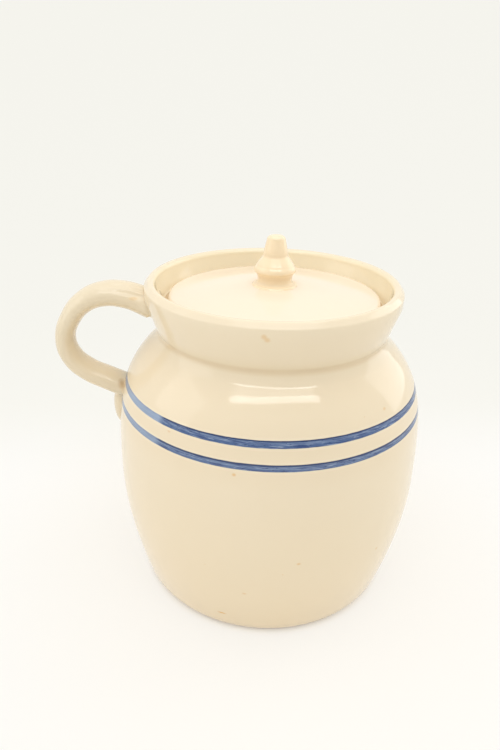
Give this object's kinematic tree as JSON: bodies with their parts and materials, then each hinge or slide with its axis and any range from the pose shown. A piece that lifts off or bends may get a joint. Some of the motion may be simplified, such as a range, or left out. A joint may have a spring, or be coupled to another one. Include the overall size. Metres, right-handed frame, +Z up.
{
  "type": "lidded crock",
  "caption": "Round-bellied stoneware crock with a flared collar, a pulled side handle, blue slip bands and a lift-off lid with a turned knob.",
  "frame": {"origin": "centre of the flat foot, on the surface that the crock stands on", "axes": "+Z up along the pot's turning axis, -X towards the handle, +Y across"},
  "size_m": [0.1948, 0.165, 0.1923],
  "materials": {
    "cream_glaze": "glossy clear glaze over cream stoneware",
    "warm_glaze": "glossy clear glaze over warmer cream stoneware",
    "blue_slip": "brushed blue slip under a clear glaze"
  },
  "bodies": {
    "crock": {"crock_body": "cream_glaze", "upper_blue_band": "blue_slip", "lower_blue_band": "blue_slip", "handle": "cream_glaze"},
    "lid": {"lid": "warm_glaze", "lid_knob": "warm_glaze"}
  },
  "joints": [
    {"name": "lid_lift", "type": "slide", "parent": "crock", "child": "lid", "axis": [0, 0, 1], "range_m": [0, 0.12]}
  ]
}
